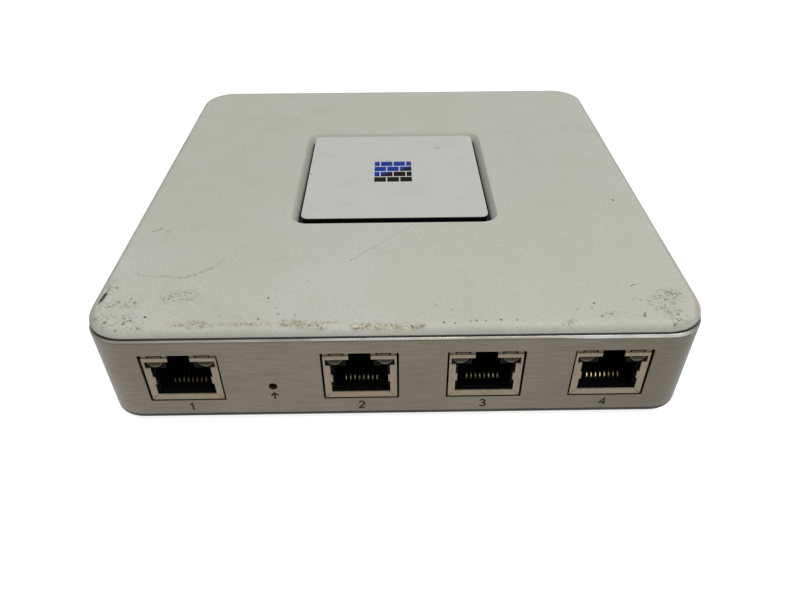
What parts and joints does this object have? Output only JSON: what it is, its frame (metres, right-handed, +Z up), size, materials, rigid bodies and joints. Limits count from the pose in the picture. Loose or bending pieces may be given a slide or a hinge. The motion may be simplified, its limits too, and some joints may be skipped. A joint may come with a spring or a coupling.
{
  "type": "firewall appliance",
  "caption": "Flat square desktop firewall appliance: white cover with a centre panel on a brushed metal tray, shielded network sockets, reset hole and rear power inlet.",
  "frame": {"origin": "middle of the footprint, on the plane under the rubber feet", "axes": "+Z up through the cover, -Y out of the network sockets, +X to the right when facing the sockets"},
  "size_m": [0.135, 0.135, 0.0283],
  "materials": {
    "tray_metal": "brushed",
    "cover_plastic": "satin, worn",
    "panel_plastic": "satin",
    "smoked_plastic": "smooth",
    "clear_plastic": "clear",
    "circuit_board": "solder mask",
    "nickel_sheet": "satin",
    "black_plastic": "matt",
    "gold": "plated",
    "lens_plastic": "frosted",
    "pad": "matt",
    "dark_aluminium": "anodised",
    "pale_plastic": "matt",
    "coil_grey": "matt",
    "screw_steel": "plain",
    "foot_rubber": "matt"
  },
  "bodies": {
    "chassis": {"body_shell": "tray_metal", "top_cover": "cover_plastic", "center_panel": "panel_plastic", "status_light_guide": "smoked_plastic", "light_pipe": "clear_plastic", "main_board": "circuit_board", "jack_1_shield": "nickel_sheet", "jack_1_insert": "black_plastic", "jack_1_contacts": "gold", "jack_1_lamps": "lens_plastic", "jack_2_shield": "nickel_sheet", "jack_2_insert": "black_plastic", "jack_2_contacts": "gold", "jack_2_lamps": "lens_plastic", "jack_3_shield": "nickel_sheet", "jack_3_insert": "black_plastic", "jack_3_contacts": "gold", "jack_3_lamps": "lens_plastic", "jack_4_shield": "nickel_sheet", "jack_4_insert": "black_plastic", "jack_4_contacts": "gold", "jack_4_lamps": "lens_plastic", "reset_switch_body": "black_plastic", "reset_dome": "nickel_sheet", "power_jack_housing": "black_plastic", "power_jack_pin": "nickel_sheet", "power_jack_spring": "nickel_sheet", "processor": "circuit_board", "thermal_pad": "pad", "heatsink": "dark_aluminium", "heatsink_pins": "pale_plastic", "memory_chips": "black_plastic", "ethernet_chips": "black_plastic", "magnetics_modules": "black_plastic", "small_chips": "black_plastic", "inductors": "coil_grey", "capacitors": "coil_grey", "crystals": "nickel_sheet", "status_led": "lens_plastic", "usb_shell": "nickel_sheet", "usb_tongue": "pale_plastic", "flash_drive_plug": "nickel_sheet", "flash_drive_case": "black_plastic", "standoffs": "gold", "board_screws": "screw_steel", "cover_screws": "screw_steel", "rubber_feet": "foot_rubber"},
    "reset_button": {"reset_plunger": "black_plastic"}
  },
  "joints": [
    {"name": "reset_press", "type": "slide", "parent": "chassis", "child": "reset_button", "axis": [0, 1, 0], "range_m": [0, 0.00025], "stiffness_N_per_m": 6000}
  ]
}
